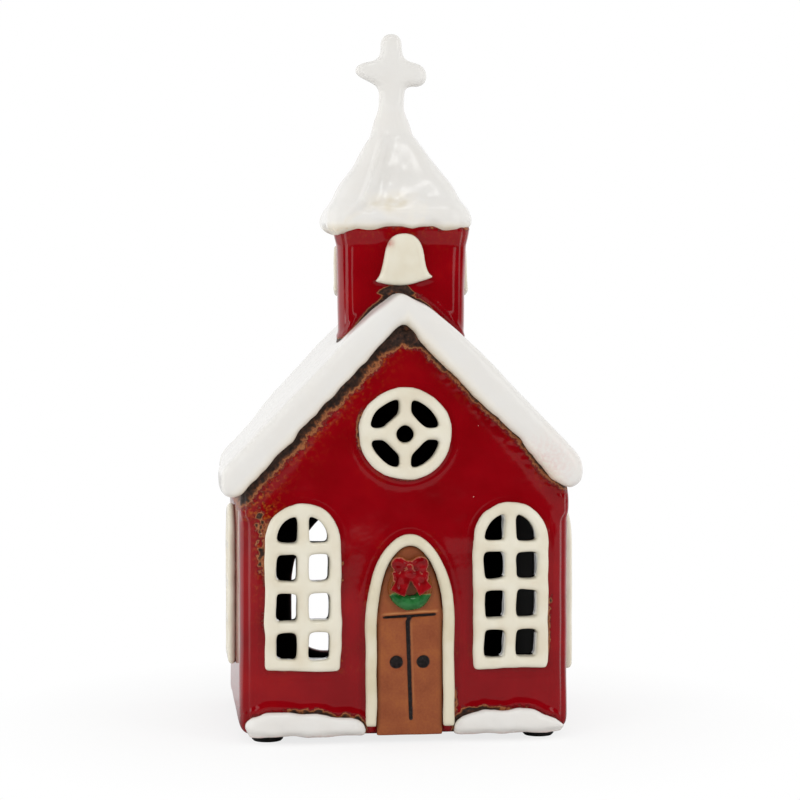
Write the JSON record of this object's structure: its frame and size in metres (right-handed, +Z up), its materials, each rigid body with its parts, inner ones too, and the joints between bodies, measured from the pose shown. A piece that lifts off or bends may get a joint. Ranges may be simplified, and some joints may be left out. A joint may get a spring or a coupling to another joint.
{
  "type": "ceramic village house tealight holder",
  "caption": "Glazed church-shaped village house with pierced window grilles, snow-laden roof, belfry and cross, open behind so that a tealight can stand inside and glow.",
  "frame": {"origin": "middle of the object on the table it stands on, under its felt feet", "axes": "+Z up, -Y towards the front wall with the door, +X to the right seen from the front"},
  "size_m": [0.121, 0.1074, 0.2405],
  "materials": {
    "red_glaze": "glossy red glaze",
    "snow_glaze": "glossy white glaze",
    "cream_glaze": "glossy cream glaze",
    "door_stain": "matt caramel stain",
    "bare_clay": "bare iron-brown clay",
    "black_glaze": "dull black wash",
    "green_glaze": "glossy green glaze",
    "bow_glaze": "glossy red glaze",
    "pad": "matt black pad",
    "cup": "pressed bright sheet",
    "wax": "white paraffin wax",
    "wick": "braided cotton",
    "sustainer": "tinned sheet"
  },
  "bodies": {
    "house": {"front_wall": "red_glaze", "rear_wall": "red_glaze", "left_wall": "red_glaze", "right_wall": "red_glaze", "belfry_tower": "red_glaze", "left_roof_slab": "bare_clay", "right_roof_slab": "bare_clay", "floor_slab": "black_glaze", "roof_snow": "snow_glaze", "spire_cap": "snow_glaze", "cross": "snow_glaze", "left_snow_drift": "snow_glaze", "right_snow_drift": "snow_glaze", "front_bell": "cream_glaze", "rear_bell": "cream_glaze", "left_bell": "cream_glaze", "right_bell": "cream_glaze", "front_left_window": "cream_glaze", "front_right_window": "cream_glaze", "left_window": "cream_glaze", "right_window": "cream_glaze", "rose_window": "cream_glaze", "door_surround": "cream_glaze", "door_panel": "door_stain", "wreath_ring": "green_glaze", "wreath_bow": "bow_glaze", "front_left_foot": "pad", "front_right_foot": "pad", "rear_left_foot": "pad", "rear_right_foot": "pad"},
    "tealight": {"tealight_cup": "cup", "tealight_wax": "wax", "tealight_wick": "wick", "wick_sustainer": "sustainer"}
  },
  "joints": [
    {"name": "tealight_lift_out", "type": "slide", "parent": "house", "child": "tealight", "axis": [0, 0.866, 0.5], "range_m": [0, 0.088]}
  ]
}
